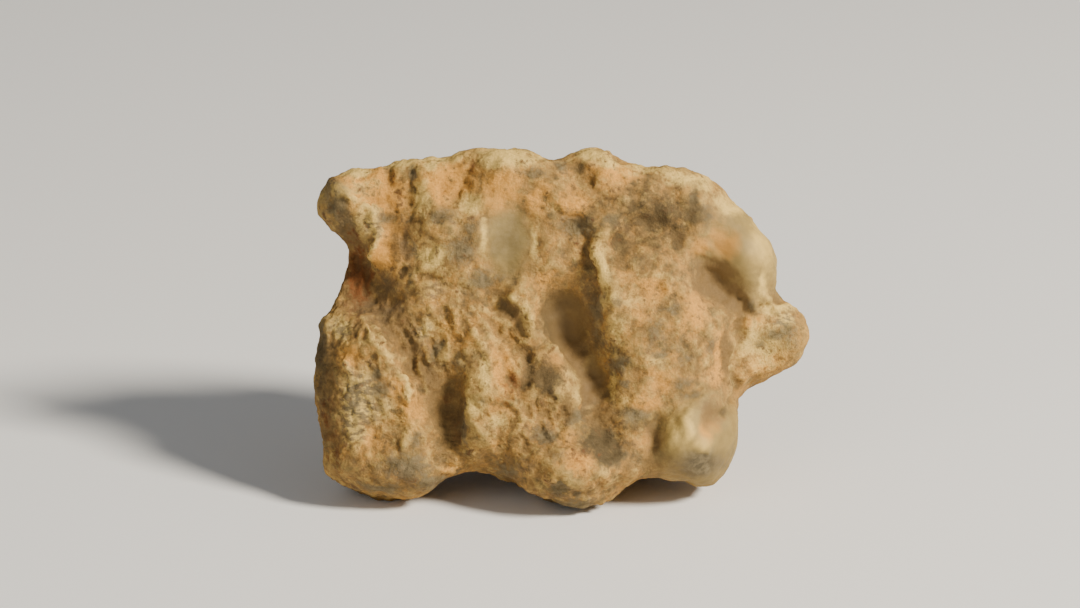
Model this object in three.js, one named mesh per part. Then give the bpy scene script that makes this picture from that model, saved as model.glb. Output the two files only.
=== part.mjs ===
// A lunar meteorite found in a desert: one worn, pitted stone, 35 mm across.
//
// The stone stands on its edge. Its broad, hollowed face looks forward (-Y) and leans back by LEAN. It rests
// on two feet along the lower edge of the face and on a heel behind them. Two smooth, waxy lobes stand out on
// the right, with a blunt spur behind them, and a knob overhangs a pocket at the top left.
//
// Lengths are in millimetres. The form is written on the face: x runs across it to the right, u up along it,
// and w out of it, towards the viewer. The finished stone has +Z up and its feet on Z = 0.

import * as THREE from "three";
import { mergeVertices } from "three/addons/utils/BufferGeometryUtils.js";
import { ImprovedNoise } from "three/addons/math/ImprovedNoise.js";

const { clamp, degToRad, smoothstep } = THREE.MathUtils;

const LEAN = degToRad(18); // the face leans back from upright
const FEET_U = -11.95; // where the ground meets the plane w = 0 of the face

// The rim of the stone, seen square to its face, from the knob at the upper left and clockwise.
const RIM = [
  [-16.4, 8.8], [-16.4, 9.6], [-15.7, 10.2], [-14.8, 10.8], [-13.6, 11.2], [-12.7, 11.2], [-11.8, 11.2],
  [-10.7, 11.5], [-9.3, 11.7], [-8.4, 11.7], [-7.4, 11.9], [-6.3, 12.0], [-5.4, 12.3], [-4.4, 12.5],
  [-2.8, 12.4], [-1.1, 12.2], [-0.2, 12.0], [1.2, 11.9], [2.0, 12.2], [2.6, 12.5], [3.2, 12.6], [3.9, 12.3],
  [5.0, 11.7], [6.5, 11.0], [7.6, 10.9], [10.0, 11.0], [11.1, 10.7], [12.3, 10.1], [13.5, 9.4], [14.9, 8.6],
  [16.2, 7.8], [17.2, 6.7], [18.1, 5.2], [18.0, 3.5], [16.6, 2.3], [15.0, 0.8], [13.9, -1.4], [12.9, -3.5],
  [13.4, -5.0], [13.8, -6.3], [13.8, -7.7], [13.2, -9.1], [12.4, -10.2], [11.6, -10.8], [10.6, -10.9],
  [9.6, -10.6], [8.6, -10.6], [7.7, -10.4], [6.7, -10.3], [5.6, -10.8], [4.2, -11.6], [2.8, -12.0],
  [1.4, -12.1], [0.2, -11.9], [-1.0, -11.5], [-2.3, -10.9], [-3.4, -10.2], [-4.6, -9.7], [-5.8, -9.7],
  [-6.8, -10.2], [-7.6, -11.0], [-8.7, -11.5], [-10.0, -11.7], [-11.6, -11.6], [-13.1, -11.1],
  [-14.7, -10.9], [-16.0, -10.4], [-16.2, -9.5], [-16.1, -8.0], [-16.5, -6.6], [-17.1, -5.0], [-17.0, -3.6],
  [-17.1, -1.8], [-16.9, -0.4], [-16.4, 0.9], [-15.1, 1.8], [-14.5, 2.5], [-14.3, 3.5], [-14.1, 4.8],
  [-13.9, 5.6], [-14.5, 6.4], [-15.9, 7.5],
];

// The front of the stone.
const FACE_W = 5.3; // height of the face over the plane w = 0, at its middle
const FACE_FALL = 0.011; // it falls away to its sides by this times x squared
const RIM_ROUNDING = 2.3;
const TOP_ROUNDING = 1.3;
const LOBE_ROUNDING = 3.4;

// The back of the stone.
const BACK_W = 7.2; // depth of the back behind the plane w = 0, at its middle
const BACK_FALL = 0.016;
const BACK_ROUNDING = 6.0;

// The spur, which stands out behind the right side.
const SPUR_RIM = [
  [11.5, 0.0], [14.2, 1.1], [15.6, 1.9], [16.5, 1.8], [17.8, 1.5], [18.3, 0.6], [18.6, -0.4], [18.3, -1.4],
  [17.8, -2.4], [16.4, -3.0], [14.7, -3.7], [13.3, -4.5], [12.4, -5.2], [11.0, -3.6],
];
const SPUR_ROOT_X = 15;
const SPUR_FRONT_W = 1.1;
const SPUR_RISE = 0.12; // its front rises outwards by this times the distance from its root
const SPUR_BACK_W = 6.4;
const SPUR_FRONT_ROUNDING = 1.5;
const SPUR_BACK_ROUNDING = 3;
const SPUR_MELT = 2.4; // it melts into the stone over this radius

// Swells of the face: [x, u, half length, half width, turn in degrees, height].
const SWELLS = [
  [8.6, 0.0, 4.6, 3.8, 90, 0.8], // the flat on the right
  [14.2, 5.8, 3.4, 2.0, -75, 1.0], // the upper waxy lobe
  [10.3, -7.5, 2.7, 2.3, 0, 1.4], // the lower waxy lobe
  [0.2, -3.3, 1.8, 1.3, -35, 1.1], // the lump under the lip
  [-2.9, 10.4, 1.7, 1.4, 0, 0.4],
  [-7.4, 7.6, 1.9, 1.5, 60, 0.4],
  [6.3, 8.8, 1.2, 0.9, 20, 0.4],
  [10.6, 8.4, 1.4, 1.1, 0, 0.35],
  [6.9, 4.7, 1.3, 1.0, 0, 0.35],
  [-12.9, -4.9, 4.8, 2.1, 90, 0.9], // the column on the left
  [-11.2, -9.8, 2.8, 1.4, 0, 0.5], // its foot
  [2.1, -9.6, 3.2, 1.6, 0, 0.9], // the middle foot
];

// Hollows of the face, in the same form.
const HOLLOWS = [
  [-3.2, 0.0, 7.6, 4.4, -20, -1.0], // the broad basin
  [1.9, -0.3, 3.2, 1.7, -74, -2.4], // the deep hollow
  [3.4, -4.4, 2.3, 1.1, -85, -1.2], // its tail
  [-6.8, -5.7, 2.7, 1.3, 92, -1.8], // the slot beside the column
  [12.2, 2.7, 3.3, 1.3, -55, -1.6], // the valley under the upper lobe
  [12.4, 6.6, 1.4, 1.2, 0, -0.7],
  [11.8, -6.3, 1.2, 1.1, 0, -0.7],
  [-2.5, 6.2, 2.6, 1.8, 90, -0.8], // the dished clast
  [-2.7, 1.6, 2.4, 1.3, -80, -0.4],
  [-11.1, 8.0, 3.1, 1.8, -73, -1.0], // the scoops along the top edge
  [-6.9, 10.4, 1.8, 1.3, 0, -0.7],
  [2.3, 10.6, 1.4, 0.9, 90, -0.7],
  [7.4, 7.2, 1.2, 1.0, 0, -0.6],
  [5.3, 6.1, 1.4, 1.0, 80, -0.5],
  [-1.6, -2.6, 1.8, 1.1, 90, -0.7], // the step beside the lump
  [-9.2, -2.1, 2.0, 1.1, -70, -0.9],
  [-11.2, 2.8, 1.8, 1.6, 0, -1.1], // the bay beside the pocket
  [-4.7, -9.0, 2.2, 1.3, 0, -0.8], // over the arch between the feet
  [4.6, -8.0, 1.6, 1.3, 0, -0.7],
  [7.7, -7.1, 2.0, 0.9, 80, -1.0], // the crease beside the lower lobe
  [-17.0, -4.6, 5.0, 1.2, 92, -1.2], // the side of the column turns away
];

// Ridges and furrows of the face.
const CREASES = [
  { path: [[-15.4, 9.7], [-13.9, 9.0], [-12.5, 8.2], [-11.8, 7.0], [-12.0, 5.4]], width: 0.9, height: 0.8 },
  { path: [[2.3, 7.2], [2.7, 4.8], [3.0, 2.6]], width: 0.85, height: -0.9 },
  { path: [[4.0, 7.0], [4.1, 4.8], [4.6, 2.0]], width: 0.8, height: 0.7 },
  { path: [[-2.1, 2.9], [-1.2, 1.1], [-0.5, -0.6], [0.7, -1.6], [1.5, -3.2]], width: 1.0, height: 0.8 },
  { path: [[-5.1, 0.4], [-4.1, -1.1], [-3.8, -2.4], [-4.1, -4.2]], width: 0.85, height: 0.7 },
  { path: [[-4.9, -4.0], [-4.8, -6.8]], width: 0.9, height: 0.6 },
  { path: [[-12.9, 0.9], [-11.6, -1.1], [-10.5, -2.5], [-9.6, -4.8]], width: 0.9, height: 0.5 },
  { path: [[-9.6, 11.2], [-9.4, 9.8], [-9.5, 8.3]], width: 0.8, height: -0.5 },
  { path: [[-5.0, 11.6], [-5.1, 10.6], [-6.2, 9.0]], width: 0.8, height: -0.5 },
];

// Blunt forms joined to the stone: [x, u, w, radius].
const LUMPS = [
  [1.5, -6.4, -5.0, 4.2], // the heel
  [-5.0, -5.6, -4.8, 3.4],
  [6.6, -6.0, -4.6, 3.6],
  [-11.6, -8.9, -1.8, 2.6], // the underside of the left foot
  [-14.0, 8.8, 0.8, 1.3], // the knob
  [14.3, 4.5, 0.6, 1.6], // the edge of the upper waxy lobe
  [13.6, 1.8, 0.6, 0.8], // behind it, where it meets the spur
  [-9.5, 4.5, -2.6, 3.2],
  [8.0, 4.0, -4.2, 3.8],
  [-2.0, 5.6, -4.4, 4.0],
];
const LUMP_MELT = 2.2; // they melt into the stone over this radius

// Bites out of the stone, in the same form.
const BITES = [
  [-13.1, 4.6, 3.3, 1.4], // the pocket under the knob
  [-13.2, 3.1, 3.3, 1.5],
  [-5.8, 1.2, -10.4, 3.4],
  [3.2, 2.4, -11.4, 3.6],
  [2.6, 9.8, -8.2, 2.9],
  [10.8, -1.8, -9.2, 3.2],
  [-10.6, -4.2, -8.0, 3.0],
  [-5.6, 11.6, -5.8, 2.7],
  [7.2, 13.2, -2.6, 2.2],
  [-18.4, -3.4, -2.6, 2.6],
  [16.4, -7.0, -4.2, 2.6],
  [-3.6, -12.4, -2.6, 3.2],
  [5.8, -12.8, -3.0, 2.4],
];
const BITE_MELT = 1.4;

// Flats where the back broke: [outward normal, distance from the middle].
const BREAKS = [
  [[0.25, 0.62, -0.74], 8.9],
  [[-0.66, 0.1, -0.74], 10.2],
  [[0.74, 0.2, -0.64], 11.4],
  [[-0.1, -0.42, -0.9], 8.4],
];
const BREAK_ROUNDING = 1.8;

// Roughness all over: [size of the lumps, height].
const ROUGHNESS = [
  [4.2, 0.5],
  [1.9, 0.26],
];

// How the mesh is drawn onto the skin of the stone.
const SPLITS = 19; // each edge of the icosahedron is split this many times
const START_RADII = new THREE.Vector3(20, 14, 11); // of the ball that shrinks onto the stone
const ROUNDS = 60;
const SETTLING_ROUNDS = 4;
const LONGEST_STEP = 0.8; // of one round, so that a point doesn't overshoot a narrow form
const SLIDE = 0.5; // share of the way to the middle of its neighbours that a point slides in a round
const PROBE = 0.02; // distance over which the slope of the skin is taken

// The larger of two distances, with the edge between them rounded off by radius.
function roundMax(a, b, radius) {
  const over = Math.hypot(Math.max(a + radius, 0), Math.max(b + radius, 0));
  return Math.min(Math.max(a, b), -radius) + over;
}

// The smaller of two distances, melted together over radius.
function meltMin(a, b, radius) {
  const share = Math.max(radius - Math.abs(a - b), 0) / radius;
  return Math.min(a, b) - (share * share * radius) / 4;
}

// A closed rim as a smooth curve, cut into straight steps.
function rimOf(corners, steps) {
  const curve = new THREE.CatmullRomCurve3(corners.map(([x, u]) => new THREE.Vector3(x, u, 0)), true);
  return curve.getPoints(steps).slice(0, -1);
}

function distanceToSegment(x, u, ax, au, bx, bu) {
  const dx = bx - ax;
  const du = bu - au;
  const share = clamp(((x - ax) * dx + (u - au) * du) / (dx * dx + du * du), 0, 1);
  return Math.hypot(x - ax - share * dx, u - au - share * du);
}

// The distance of a point from a rim, negative inside it.
function distanceToRim(rim, x, u) {
  let nearest = Infinity;
  let inside = false;
  for (let i = 0, j = rim.length - 1; i < rim.length; j = i++) {
    const a = rim[j];
    const b = rim[i];
    nearest = Math.min(nearest, distanceToSegment(x, u, a.x, a.y, b.x, b.y));
    if (b.y > u !== a.y > u && x < ((a.x - b.x) * (u - b.y)) / (a.y - b.y) + b.x) inside = !inside;
  }
  return inside ? -nearest : nearest;
}

function distanceToPath(path, x, u) {
  let nearest = Infinity;
  for (let i = 1; i < path.length; i++) {
    nearest = Math.min(nearest, distanceToSegment(x, u, ...path[i - 1], ...path[i]));
  }
  return nearest;
}

// Height of the face at a point, with its swells, hollows, ridges and furrows.
function faceHeight(x, u) {
  let height = FACE_W - FACE_FALL * x * x;
  for (const [cx, cu, long, wide, turn, rise] of [...SWELLS, ...HOLLOWS]) {
    const angle = degToRad(turn);
    const along = ((x - cx) * Math.cos(angle) + (u - cu) * Math.sin(angle)) / long;
    const across = ((u - cu) * Math.cos(angle) - (x - cx) * Math.sin(angle)) / wide;
    height += rise * Math.exp(-along * along - across * across);
  }
  for (const { path, width, height: rise } of CREASES) {
    const away = distanceToPath(path, x, u) / width;
    height += rise * Math.exp(-away * away);
  }
  return height;
}

// The rim of the face is sharpest along the top and roundest beside the waxy lobes.
function faceRounding(x, u) {
  const top = (TOP_ROUNDING - RIM_ROUNDING) * smoothstep(u, 7, 11);
  const lobes = (LOBE_ROUNDING - RIM_ROUNDING) * smoothstep(x, 9, 14);
  return RIM_ROUNDING + top + lobes;
}

const noise = new ImprovedNoise();
const rim = rimOf(RIM, 160);
const spurRim = rimOf(SPUR_RIM, 36);
const breaks = BREAKS.map(([normal, distance]) => [new THREE.Vector3(...normal).normalize(), distance]);

// The skin of the stone is where this reads zero. It is negative inside and positive outside.
function skin(x, u, w) {
  const face = roundMax(distanceToRim(rim, x, u), w - faceHeight(x, u), faceRounding(x, u));
  let away = roundMax(face, -w - BACK_W + BACK_FALL * x * x, BACK_ROUNDING);
  for (const [normal, distance] of breaks) {
    away = roundMax(away, normal.x * x + normal.y * u + normal.z * w - distance, BREAK_ROUNDING);
  }
  for (const [cx, cu, cw, radius] of LUMPS) {
    away = meltMin(away, Math.hypot(x - cx, u - cu, w - cw) - radius, LUMP_MELT);
  }
  const overSpur = w - SPUR_FRONT_W - SPUR_RISE * (x - SPUR_ROOT_X);
  const spurFace = roundMax(distanceToRim(spurRim, x, u), overSpur, SPUR_FRONT_ROUNDING);
  away = meltMin(away, roundMax(spurFace, -w - SPUR_BACK_W, SPUR_BACK_ROUNDING), SPUR_MELT);
  for (const [cx, cu, cw, radius] of BITES) {
    away = -meltMin(-away, Math.hypot(x - cx, u - cu, w - cw) - radius, BITE_MELT);
  }
  for (const [size, height] of ROUGHNESS) away -= height * noise.noise(x / size, u / size, w / size);
  return away;
}

// Moves a point straight towards the skin, and returns the way out of the stone there.
function drawOntoSkin(point) {
  const { x, y, z } = point;
  const here = skin(x, y, z);
  const slope = new THREE.Vector3(
    skin(x + PROBE, y, z) - here,
    skin(x, y + PROBE, z) - here,
    skin(x, y, z + PROBE) - here,
  ).divideScalar(PROBE);
  const step = clamp(here / slope.lengthSq(), -LONGEST_STEP, LONGEST_STEP);
  point.addScaledVector(slope, -step);
  return slope.normalize();
}

// A ball of even triangles is shrunk onto the skin, while each point slides to lie between its neighbours.
function stoneGeometry() {
  const ball = new THREE.IcosahedronGeometry(1, SPLITS);
  ball.deleteAttribute("normal");
  ball.deleteAttribute("uv");
  const geometry = mergeVertices(ball, 1e-5);
  const place = geometry.attributes.position;
  const triangles = geometry.index.array;
  const points = Array.from({ length: place.count }, (_, i) =>
    new THREE.Vector3().fromBufferAttribute(place, i).multiply(START_RADII),
  );
  const neighbours = points.map(() => new Set());
  for (let i = 0; i < triangles.length; i += 3) {
    for (const [a, b] of [[0, 1], [1, 2], [2, 0]]) {
      neighbours[triangles[i + a]].add(triangles[i + b]);
      neighbours[triangles[i + b]].add(triangles[i + a]);
    }
  }
  for (let round = 0; round < ROUNDS; round++) {
    points.forEach(drawOntoSkin);
    const slides = points.map((point, i) => {
      const middle = new THREE.Vector3();
      for (const j of neighbours[i]) middle.add(points[j]);
      return middle.divideScalar(neighbours[i].size).sub(point);
    });
    points.forEach((point, i) => point.addScaledVector(slides[i], SLIDE));
  }
  for (let round = 0; round < SETTLING_ROUNDS; round++) points.forEach(drawOntoSkin);
  points.forEach((point, i) => place.setXYZ(i, point.x, point.y, point.z));
  return geometry;
}

// Stands the stone on its feet: +Z up, the face leaning back, and what would reach into the ground worn flat.
function standUp(geometry) {
  geometry.rotateX(Math.PI / 2 - LEAN);
  geometry.translate(0, 0, -FEET_U * Math.cos(LEAN));
  const place = geometry.attributes.position;
  for (let i = 0; i < place.count; i++) place.setZ(i, Math.max(place.getZ(i), 0));
  geometry.computeBoundingBox();
  const middle = geometry.boundingBox.getCenter(new THREE.Vector3());
  geometry.translate(-middle.x, -middle.y, 0);
  geometry.computeVertexNormals();
  return geometry;
}

const weatheredStone = new THREE.MeshStandardMaterial({ color: 0xb98d5c, roughness: 0.75, metalness: 0 });

const meteorite = new THREE.Group();
const stone = new THREE.Mesh(standUp(stoneGeometry()), weatheredStone);
stone.name = "stone";
meteorite.add(stone);

export default meteorite;
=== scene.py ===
# A lunar meteorite found in a desert: one breccia stone, 35 mm across, standing on its lower edge.
#
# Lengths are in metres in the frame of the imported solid: +X to the right, -Y towards the viewer, +Z up.
# Names that end in _MM are in millimetres, and so are all places on the broad front face of the stone.

import math

import bpy
import numpy as np
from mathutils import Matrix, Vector, noise


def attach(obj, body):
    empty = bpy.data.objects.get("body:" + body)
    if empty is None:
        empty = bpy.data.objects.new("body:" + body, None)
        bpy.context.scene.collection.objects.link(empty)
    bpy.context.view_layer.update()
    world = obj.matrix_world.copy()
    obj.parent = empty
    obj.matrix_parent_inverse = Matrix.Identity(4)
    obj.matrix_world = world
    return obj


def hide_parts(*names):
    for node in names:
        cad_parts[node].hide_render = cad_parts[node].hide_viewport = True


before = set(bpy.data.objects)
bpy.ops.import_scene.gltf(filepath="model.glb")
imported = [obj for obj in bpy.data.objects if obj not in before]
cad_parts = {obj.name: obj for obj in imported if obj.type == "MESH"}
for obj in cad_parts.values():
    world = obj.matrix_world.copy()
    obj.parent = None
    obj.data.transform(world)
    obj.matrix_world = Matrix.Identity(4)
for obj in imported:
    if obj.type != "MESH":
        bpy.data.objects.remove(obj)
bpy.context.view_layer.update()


# The camera looks down on the stone a little, square to its face, which leans back by LEAN. A place on the
# face is given by x across it to the right, u up along it and w out of it, towards the viewer.
LEAN = math.radians(18)
FACE_MIDDLE_MM = (1.27, 0.468)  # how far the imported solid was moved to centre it
FEET_U_MM = -11.95  # where the ground meets the plane w = 0 of the face
AIM_MM = (-0.35, 1.82, 0)  # what the middle of the picture shows
CAMERA_DISTANCE = 0.3
SENSOR_WIDTH_MM = 36
PICTURE_WIDTH = 1080  # pixels
PIXEL = 0.00007  # of the picture, on the plane through the middle of the stone


def on_face(x, u, w):
    """A place in the room, from millimetres across, up and out of the face."""
    y = u * math.sin(LEAN) - w * math.cos(LEAN)
    z = (u - FEET_U_MM) * math.cos(LEAN) + w * math.sin(LEAN)
    return Vector((x - FACE_MIDDLE_MM[0], y - FACE_MIDDLE_MM[1], z)) * 0.001


lens = bpy.data.cameras.new("camera")
lens.sensor_width = SENSOR_WIDTH_MM
lens.lens = SENSOR_WIDTH_MM * CAMERA_DISTANCE / (PICTURE_WIDTH * PIXEL)
camera = bpy.data.objects.new("camera", lens)
look = Vector((0, math.cos(LEAN), -math.sin(LEAN)))
camera.location = on_face(*AIM_MM) - look * CAMERA_DISTANCE
camera.rotation_euler = look.to_track_quat("-Z", "Y").to_euler()
bpy.context.scene.collection.objects.link(camera)
bpy.context.scene.camera = camera


# The stone is one solid lump of breccia. Its form is that of the imported solid, rounded off so that no facet
# shows. Ridges, cracks and pits are laid on its broad face along listed paths, and small folds
# between the column on the left and the deep hollow.
WELD_REACH = 1e-6
ROUND_OFF_LEVELS = 2
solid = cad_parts["stone"]
stone = bpy.data.objects.new("meteorite_stone", solid.data.copy())
stone.data.materials.clear()
bpy.context.scene.collection.objects.link(stone)


def made_plain(piece):
    """Turns what the piece's modifiers make into its own mesh."""
    shown = piece.evaluated_get(bpy.context.evaluated_depsgraph_get())
    mesh = bpy.data.meshes.new_from_object(shown)
    piece.modifiers.clear()
    piece.data = mesh


weld = stone.modifiers.new("weld", "WELD")
weld.merge_threshold = WELD_REACH
round_off = stone.modifiers.new("round off", "SUBSURF")
round_off.levels = round_off.render_levels = ROUND_OFF_LEVELS
made_plain(stone)


def places_of(mesh):
    """Where each point of the mesh is."""
    spots = np.empty(len(mesh.vertices) * 3)
    mesh.vertices.foreach_get("co", spots)
    return spots.reshape(-1, 3)


def outward_of(mesh):
    """Which way the surface looks at each point of the mesh."""
    normals = np.empty(len(mesh.vertices) * 3)
    mesh.vertex_normals.foreach_get("vector", normals)
    return normals.reshape(-1, 3)


def face_plan(places):
    """Millimetres across, up and out of the face, of places in the room."""
    x, y, z = (places * 1000).T
    y = y + FACE_MIDDLE_MM[1]
    z = z + FEET_U_MM * math.cos(LEAN)
    across = x + FACE_MIDDLE_MM[0]
    return across, y * math.sin(LEAN) + z * math.cos(LEAN), z * math.sin(LEAN) - y * math.cos(LEAN)


edges = np.empty(len(stone.data.edges) * 2, int)
stone.data.edges.foreach_get("vertices", edges)
ends = edges.reshape(-1, 2)


def evened(values, rounds):
    """Each point moved to the middle of its neighbours, again and again."""
    near = np.bincount(ends.ravel(), minlength=len(values))[:, None]
    for _ in range(rounds):
        sides = [
            np.bincount(ends[:, 0], column[ends[:, 1]], len(column))
            + np.bincount(ends[:, 1], column[ends[:, 0]], len(column))
            for column in values.T
        ]
        values = np.stack(sides, axis=1) / near
    return values


def smooth(low, high, value):
    """A gentle rise from 0 at the low value to 1 at the high one."""
    share = np.clip((value - low) / (high - low), 0, 1)
    return share * share * (3 - 2 * share)


def away_from(path, x, u):
    """Distance from a path on the face."""
    nearest = np.full(len(x), np.inf)
    for (ax, au), (bx, bu) in zip(path, path[1:]):
        dx, du = bx - ax, bu - au
        share = np.clip(((x - ax) * dx + (u - au) * du) / (dx * dx + du * du), 0, 1)
        nearest = np.minimum(nearest, np.hypot(x - ax - share * dx, u - au - share * du))
    return nearest


# (width, height, path across and up the face)
RIDGES_MM = [
    (0.34, 0.36, [(-14.6, 9.7), (-13.8, 9.5), (-13.3, 9.1), (-12.6, 8.6), (-12.0, 8.0)]),
    (0.32, 0.28, [(-12.0, 8.0), (-11.5, 7.2), (-11.7, 6.2), (-11.8, 5.4)]),
    (0.28, 0.32, [(-2.0, 2.2), (-1.6, 1.7), (-1.0, 0.8), (-0.5, -0.1)]),
    (0.28, 0.36, [
        (0.4, -1.3), (1.0, -1.6), (1.6, -2.1), (2.0, -2.6),
        (2.3, -3.3), (2.3, -4.0), (2.2, -4.8),
    ]),
    (0.30, 0.20, [(2.8, -4.1), (3.2, -5.0), (3.1, -5.7)]),
    (0.40, 0.35, [(3.5, 6.8), (3.7, 5.9), (3.9, 4.7), (4.1, 3.5), (4.6, 2.2)]),
    (0.32, 0.25, [(-5.0, 0.1), (-4.5, -0.5), (-3.9, -1.5), (-3.7, -2.3), (-3.9, -3.3), (-4.2, -4.3)]),
    (0.30, 0.25, [(-5.2, -1.5), (-5.3, -2.6), (-5.0, -3.8), (-5.2, -4.8), (-5.2, -5.9)]),
    (0.24, 0.36, [
        (-12.5, 0.6), (-12.0, -0.2), (-11.4, -1.0), (-10.8, -1.7),
        (-10.4, -2.3), (-10.1, -3.2), (-9.7, -4.0), (-9.3, -4.8),
    ]),
    (0.20, 0.26, [(-12.0, 0.5), (-11.5, -0.1), (-11.1, -0.7)]),
    (0.35, 0.22, [(-9.1, -5.7), (-9.5, -6.5), (-9.7, -7.7)]),
    (0.22, 0.26, [(-8.8, -1.8), (-8.6, -2.6), (-8.5, -3.6), (-8.2, -4.4)]),
    (0.40, 0.22, [(9.7, -6.1), (10.0, -6.9), (10.5, -7.6), (11.1, -8.3)]),
    (0.30, 0.15, [(13.0, -1.4), (12.7, -2.9), (12.9, -4.5)]),
    (0.30, 0.32, [(15.4, 2.1), (16.0, 1.7), (16.7, 1.5), (17.4, 1.3)]),
    (0.35, 0.15, [(4.1, 12.0), (4.8, 11.5), (5.6, 10.9)]),
    (0.30, 0.20, [(-4.8, 1.4), (-4.1, 1.3), (-3.3, 0.8), (-2.6, 0.4)]),
    (0.30, 0.18, [(-8.4, 0.8), (-7.9, 0.3), (-8.1, -0.5)]),
    (0.28, 0.18, [(-7.0, -0.7), (-6.9, -1.5), (-7.1, -2.5)]),
    (0.30, 0.20, [(-14.2, -1.2), (-13.8, -2.1), (-13.3, -2.9)]),
    (0.28, 0.16, [(-3.1, -0.7), (-2.6, -1.5), (-2.1, -2.5), (-1.9, -3.4)]),
    (0.28, 0.16, [(-10.2, 4.7), (-9.1, 4.4), (-7.9, 4.0), (-7.0, 3.5)]),
    (0.28, 0.14, [(8.2, 3.2), (8.8, 2.6), (9.5, 2.9)]),
    (0.30, 0.16, [(-7.3, -9.4), (-6.6, -9.7), (-6.0, -9.1)]),
]
# (width, depth, path)
CRACKS_MM = [
    (0.22, 0.26, [(-4.9, 12.1), (-5.0, 11.2), (-5.5, 10.2), (-6.1, 9.2)]),
    (0.22, 0.20, [(-9.3, 11.3), (-9.3, 10.5), (-9.4, 9.5), (-9.5, 8.6)]),
    (0.22, 0.20, [(-10.8, 11.2), (-10.7, 10.1)]),
    (0.22, 0.18, [(-10.3, 9.7), (-9.7, 8.9)]),
    (0.32, 0.20, [(2.8, 6.5), (3.0, 5.5), (3.1, 4.6), (3.2, 3.7)]),
    (0.35, 0.22, [(2.3, 11.6), (2.3, 10.8)]),
    (0.26, 0.25, [(3.2, 10.7), (3.4, 9.5)]),
    (0.26, 0.40, [(-1.3, -1.5), (-1.3, -2.5), (-1.4, -3.4), (-1.7, -4.0)]),
    (0.20, 0.28, [(-2.4, -3.1), (-2.1, -3.5), (-1.9, -4.0)]),
    (0.80, 0.62, [(-6.6, -3.9), (-6.8, -5.0), (-6.8, -6.2), (-6.8, -7.5)]),
    (0.55, 0.45, [(10.5, 5.2), (11.0, 4.5), (11.5, 3.8), (12.6, 2.9), (13.6, 2.1), (13.8, 1.3)]),
    (0.32, 0.40, [(7.9, -6.2), (7.6, -6.9), (7.4, -7.6), (7.3, -8.3)]),
    (0.32, 0.45, [(13.8, 0.8), (13.5, -0.7), (13.3, -2.5), (13.2, -4.8)]),
    (0.95, 0.62, [(1.1, 1.7), (1.3, 0.6), (1.7, -0.5), (2.5, -2.2), (3.2, -3.8), (3.6, -5.5)]),
    (0.35, 0.30, [(-2.9, 2.2), (-2.6, 1.4), (-2.1, 0.6), (-1.5, -0.3)]),
    (0.35, 0.30, [(-9.3, -1.4), (-9.2, -2.2), (-8.9, -3.2), (-8.4, -4.3)]),
    (0.22, 0.25, [(-13.3, 5.0), (-13.3, 3.8), (-13.3, 2.6)]),
    (0.22, 0.25, [(-12.7, 4.7), (-12.6, 3.6), (-12.6, 2.5)]),
    (0.22, 0.18, [(10.5, 9.7), (10.6, 9.0), (10.5, 8.5)]),
    (0.24, 0.22, [(-12.5, 0.6), (-12.9, 0.0), (-13.2, -0.5)]),
    (0.26, 0.20, [(-12.0, 0.3), (-11.4, -0.7), (-10.7, -1.7), (-10.2, -2.5)]),
    (0.22, 0.18, [(-9.1, 4.3), (-7.9, 3.6), (-6.8, 3.2), (-5.9, 3.0)]),
    (0.24, 0.20, [(-3.3, 0.1), (-2.8, -0.5), (-2.3, -1.5)]),
    (0.24, 0.18, [(-5.3, -1.2), (-5.0, -2.1), (-5.2, -3.0)]),
    (0.26, 0.22, [(1.5, -4.6), (1.3, -5.2), (1.5, -5.8)]),
    (0.24, 0.16, [(10.0, -4.6), (11.0, -4.3), (11.8, -4.0)]),
    (0.22, 0.14, [(8.2, -0.3), (8.9, -0.7), (9.7, -0.8)]),
    (0.24, 0.16, [(-7.9, -8.4), (-7.7, -9.1), (-7.3, -9.4)]),
]
# (x, u, radius, depth)
PITS_MM = [
    (-7.3, 7.7, 0.40, 0.25), (-9.8, 4.0, 0.30, 0.35), (-6.6, -5.2, 0.25, 0.50), (12.4, -5.7, 0.22, 0.30),
    (4.2, -4.3, 0.22, 0.25), (3.0, -5.5, 0.22, 0.20), (1.0, -10.8, 0.35, 0.20), (2.2, -11.3, 0.30, 0.20),
    (3.1, -11.5, 0.25, 0.15), (7.1, 7.3, 0.50, 0.18), (9.1, 6.4, 0.50, 0.18), (6.0, 8.6, 0.40, 0.15),
    (5.5, 5.9, 0.45, 0.18), (10.2, 8.2, 0.45, 0.18), (-13.1, 0.4, 0.35, 0.30), (-12.0, 5.8, 0.25, 0.15),
    (8.8, 1.5, 0.40, 0.12), (-0.1, -3.1, 1.0, 0.70), (-9.1, 9.9, 0.30, 0.25), (11.5, -6.2, 0.80, 0.22),
]
places = places_of(stone.data)
outward = outward_of(stone.data)
x, u, w = face_plan(places)
toward = -outward[:, 1] * math.cos(LEAN) + outward[:, 2] * math.sin(LEAN)

# Relief and patches fade out where the stone turns from the viewer or lies far behind the face.
FRONT_TURN = (-0.05, 0.35)
FRONT_W_MM = (-2.5, -0.5)
VIEW_TURN = (-0.35, 0.05)
VIEW_W_MM = (-6, -3)
front = smooth(*FRONT_TURN, toward) * smooth(*FRONT_W_MM, w)
in_view = smooth(*VIEW_TURN, toward) * smooth(*VIEW_W_MM, w)

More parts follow.
